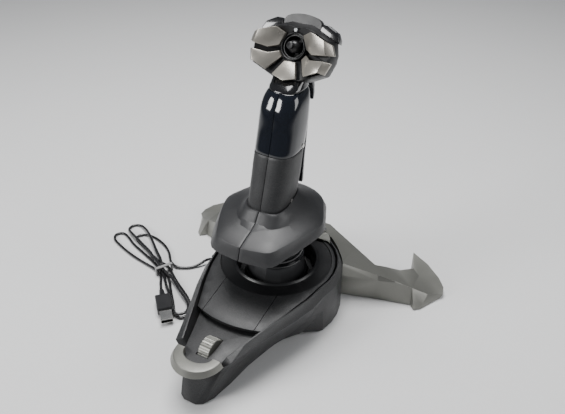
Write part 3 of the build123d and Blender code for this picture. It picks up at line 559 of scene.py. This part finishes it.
# ---------------------------------------------------------------- hand rest, in halves
REST = [
    [(0, -28.6, 98.6), (6.9, -27.7, 98.6), (13.3, -25, 98.6), (18.8, -20.8, 98.6), (23, -15.3, 98.6),
     (25.7, -8.9, 98.6), (26.6, -2, 98.6), (25.7, 4.9, 98.6), (23, 11.3, 98.6), (18.8, 16.8, 98.6),
     (13.3, 21, 98.6), (6.9, 23.7, 98.6), (0, 24.6, 98.6)],
    [(0, -63.6, 96.4), (14, -62.6, 96.8), (27, -59.8, 97.6), (33.6, -49.4, 100.4), (40, -34, 102.6),
     (45, -20, 103.8), (47.6, -5, 104.4), (43.2, 8.4, 105), (37.6, 20.4, 105.6), (31.6, 32.2, 106),
     (22, 39.4, 106.5),
     (10.4, 43, 107), (0, 44, 107)],
    [(0, -65, 96.8), (14, -64, 97.2), (28, -61, 98), (34.6, -50, 100.8), (41, -34.5, 103), (46, -20, 104.2),
     (48.6, -5, 104.8), (44.2, 8.6, 105.4), (38.6, 20.8, 106), (32.4, 33, 106.4), (22.6, 40.4, 106.9),
     (10.6, 44, 107.4), (0, 45, 107.4)],
    [(0, -61.8, 105.4), (13, -60.8, 105.6), (25.8, -57.2, 106), (32, -46.8, 107.4), (38.6, -32.6, 108.8),
     (44, -18.8, 109.4), (47.2, -5, 109.6), (42.8, 8.2, 110), (37.2, 19.8, 110.4), (31, 31.4, 110.9),
     (21.6, 38.6, 111.6), (10, 42.4, 112), (0, 43.4, 112)],
    [(0, -53, 108.8), (11.4, -52, 109), (21.8, -48.6, 109.4), (28.2, -40, 110.2), (34.6, -28.6, 111),
     (40, -17.4, 111.4), (43, -4.6, 111.6), (39.2, 8, 112.2), (34.4, 18.8, 112.8), (28, 28.4, 113.6),
     (19.4, 35, 114.2), (9, 38, 114.6), (0, 39, 114.8)],
    [(0, -38, 112.4), (9.4, -37.6, 112.6), (16.4, -35.4, 112.8), (22.4, -29.6, 113.2), (27.8, -21.6, 113.8),
     (31.6, -13.2, 114.5), (33.8, -4, 115.2), (32.8, 8, 116), (29.2, 16.6, 117), (23.4, 22.6, 118),
     (15.8, 26.4, 119), (7.6, 28.4, 119.6), (0, 29, 119.8)],
    [(0, -30.8, 121.6), (8.6, -30.4, 121.6), (15.6, -28, 121.4), (20.6, -22, 119.4), (22.6, -15.6, 119.6),
     (23.2, -9.4, 120.2), (23, -3.4, 121.2), (22, 3, 122.6), (20, 8.4, 124.2), (16.2, 12.6, 125.6),
     (11, 15, 126.8), (5.4, 16, 127.4), (0, 16.2, 127.6)],
    [(0, -30.3, 122.3), (8.4, -29.9, 122.3), (15.0, -27.2, 122.2), (18.3, -21.8, 122.6), (19.3, -15.8, 123),
     (19.5, -9.8, 123.6), (19.4, -4, 124.8), (18.9, 2, 126), (17.7, 7.4, 127.2), (14.7, 12, 128.2),
     (10.1, 14, 128.8), (5, 14.8, 129), (0, 15, 129)],
    [(0, -26, 120), (7.4, -25.8, 120), (12.8, -23.6, 120), (15.6, -19, 120.4), (16.4, -14, 121),
     (16.5, -9, 121.6), (16.4, -4, 122.4), (16, 1, 123.4), (14.8, 5, 124.4), (12.2, 8.6, 125.2),
     (8.6, 10.4, 125.8), (4.4, 11.2, 126), (0, 11.4, 126)]]


for side, sign in (("right", 1), ("left", -1)):
    rows = [[(sign * max(SEAM, x), y, z) for x, y, z in between(row, 3)] for row in REST]
    shell_piece(f"rest_{side}_half", rows, CHARCOAL_REST, 2.4, f"rest_{side}", "grip",
                "charcoal_plastic", bevel=0.4)
    # the raised panel that runs down from the grip's front
    outer = [(SEAM, -30.5, 120.2), (15.0, -28.4, 120.8), (15.6, -36, 115.4), (12.6, -46.4, 111.9),
             (SEAM, -49.5, 111.2)]
    lower = [(SEAM, -29.0, 117.2), (14.2, -26.8, 117.2), (14.8, -35.6, 111.6), (11.8, -45.6, 108.6),
             (SEAM, -48.6, 108)]
    points = [(sign * x, y, z) for x, y, z in outer + lower]
    faces = [(0, 1, 2, 3, 4), (5, 6, 7, 8, 9)] + [(i, (i + 1) % 5, 5 + (i + 1) % 5, 5 + i) for i in range(5)]
    mesh_piece(f"rest_{side}_panel", points, faces, CHARCOAL_REST, None, "grip", "charcoal_plastic",
               bevel=0.5)

# ---------------------------------------------------------------- stage and light
floor = bpy.data.objects.new("floor", bpy.data.meshes.new("floor"))
floor.data.from_pydata([(-4, -4, 0), (4, -4, 0), (4, 4, 0), (-4, 4, 0)], [], [(0, 1, 2, 3)])
floor.data.materials.append(surface("floor_pale", (0.62, 0.62, 0.62), 0.75, blotch=0.01, grain=(300, 0.0),
                                    speck=0.01))
bpy.context.scene.collection.objects.link(floor)

world = bpy.data.worlds.new("world")
bpy.context.scene.world = world
world.use_nodes = True
world.node_tree.nodes["Background"].inputs["Color"].default_value = (0.8, 0.84, 0.9, 1)
world.node_tree.nodes["Background"].inputs["Strength"].default_value = 0.20


def lamp(name, where, power, size, tone=(1, 1, 1)):
    data = bpy.data.lights.new(name, "AREA")
    data.energy, data.size, data.color = power, size, tone
    obj = bpy.data.objects.new(name, data)
    bpy.context.scene.collection.objects.link(obj)
    obj.location = where
    obj.rotation_euler = (Vector((0, 0, 0.12)) - obj.location).to_track_quat("-Z", "Y").to_euler()


lamp("key", (-0.75, -0.95, 0.75), 13, 0.45)
lamp("top", (-0.15, 0.15, 1.25), 24, 0.7)
lamp("fill", (0.9, 0.1, 0.6), 4, 0.5)
